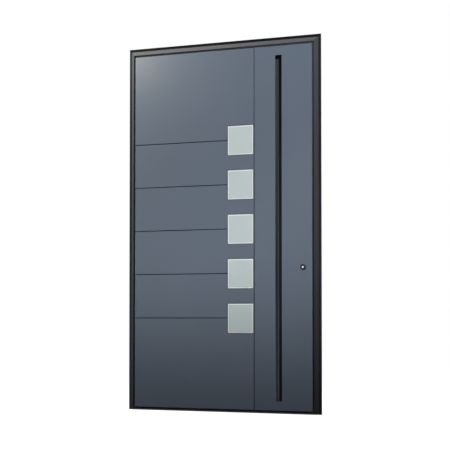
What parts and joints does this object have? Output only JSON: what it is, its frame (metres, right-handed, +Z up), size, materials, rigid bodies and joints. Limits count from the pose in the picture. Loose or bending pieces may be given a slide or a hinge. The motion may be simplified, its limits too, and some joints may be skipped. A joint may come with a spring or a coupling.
{
  "type": "pivot door",
  "caption": "Entrance pivot door in a frame: a wide flat leaf with frosted square panes, fine grooves and tall recessed grips turns on a floor spindle and a head pin.",
  "frame": {"origin": "on the floor under the threshold, at the middle of the frame's width and of the leaf's thickness", "axes": "+Z up, +X to the right seen from outside, +Y into the house; the outer face looks along -Y"},
  "size_m": [1.5, 0.115, 2.5],
  "materials": {
    "leaf_paint": "satin blue-grey powder coat",
    "frame_paint": "satin warm-grey powder coat",
    "cover_black": "matt black",
    "threshold_metal": "dark anodised",
    "seal_rubber": "matt black",
    "brush_fibre": "black fibre",
    "frosted_glass": "frosted, slightly green-grey",
    "spacer_metal": "mill finish",
    "grip_black": "matt black",
    "lock_steel": "brushed",
    "pivot_steel": "ground"
  },
  "bodies": {
    "frame": {"left_jamb": "frame_paint", "right_jamb": "frame_paint", "head_jamb": "frame_paint", "left_jamb_stop": "frame_paint", "right_jamb_stop": "frame_paint", "left_cover_strip": "cover_black", "right_cover_strip": "cover_black", "head_cover_strip": "cover_black", "threshold": "threshold_metal", "left_jamb_seal": "seal_rubber", "right_jamb_seal": "seal_rubber", "strike_plates": "lock_steel", "floor_pivot_plate": "pivot_steel", "floor_spindle": "pivot_steel", "head_pivot_plate": "pivot_steel", "head_pivot_pin": "pivot_steel"},
    "leaf": {"left_stile": "leaf_paint", "right_stile": "leaf_paint", "mid_stile": "leaf_paint", "top_rail": "leaf_paint", "bottom_rail": "leaf_paint", "outer_left_panel": "leaf_paint", "outer_right_panel": "leaf_paint", "inner_left_panel": "leaf_paint", "inner_right_panel": "leaf_paint", "outer_pane_1": "frosted_glass", "outer_pane_2": "frosted_glass", "outer_pane_3": "frosted_glass", "outer_pane_4": "frosted_glass", "outer_pane_5": "frosted_glass", "inner_panes": "frosted_glass", "pane_spacers": "spacer_metal", "outer_pane_seals": "seal_rubber", "inner_pane_seals": "seal_rubber", "outer_grip_channel": "leaf_paint", "inner_grip_channel": "leaf_paint", "outer_grip_lids": "grip_black", "inner_grip_lids": "grip_black", "outer_lock_rose": "grip_black", "inner_lock_rose": "grip_black", "lock_cylinder": "lock_steel", "thumb_turn": "lock_steel", "lock_faceplate": "lock_steel", "lock_bolts": "lock_steel", "outer_top_brush": "brush_fibre", "inner_top_brush": "brush_fibre", "outer_bottom_brush": "brush_fibre", "inner_bottom_brush": "brush_fibre", "bottom_pivot_block": "pivot_steel", "top_pivot_block": "pivot_steel"}
  },
  "joints": [
    {"name": "leaf_pivot", "type": "hinge", "parent": "frame", "child": "leaf", "pos_m": [-0.442, 0, 0], "axis": [0, 0, 1], "range_deg": [0, 110]}
  ]
}
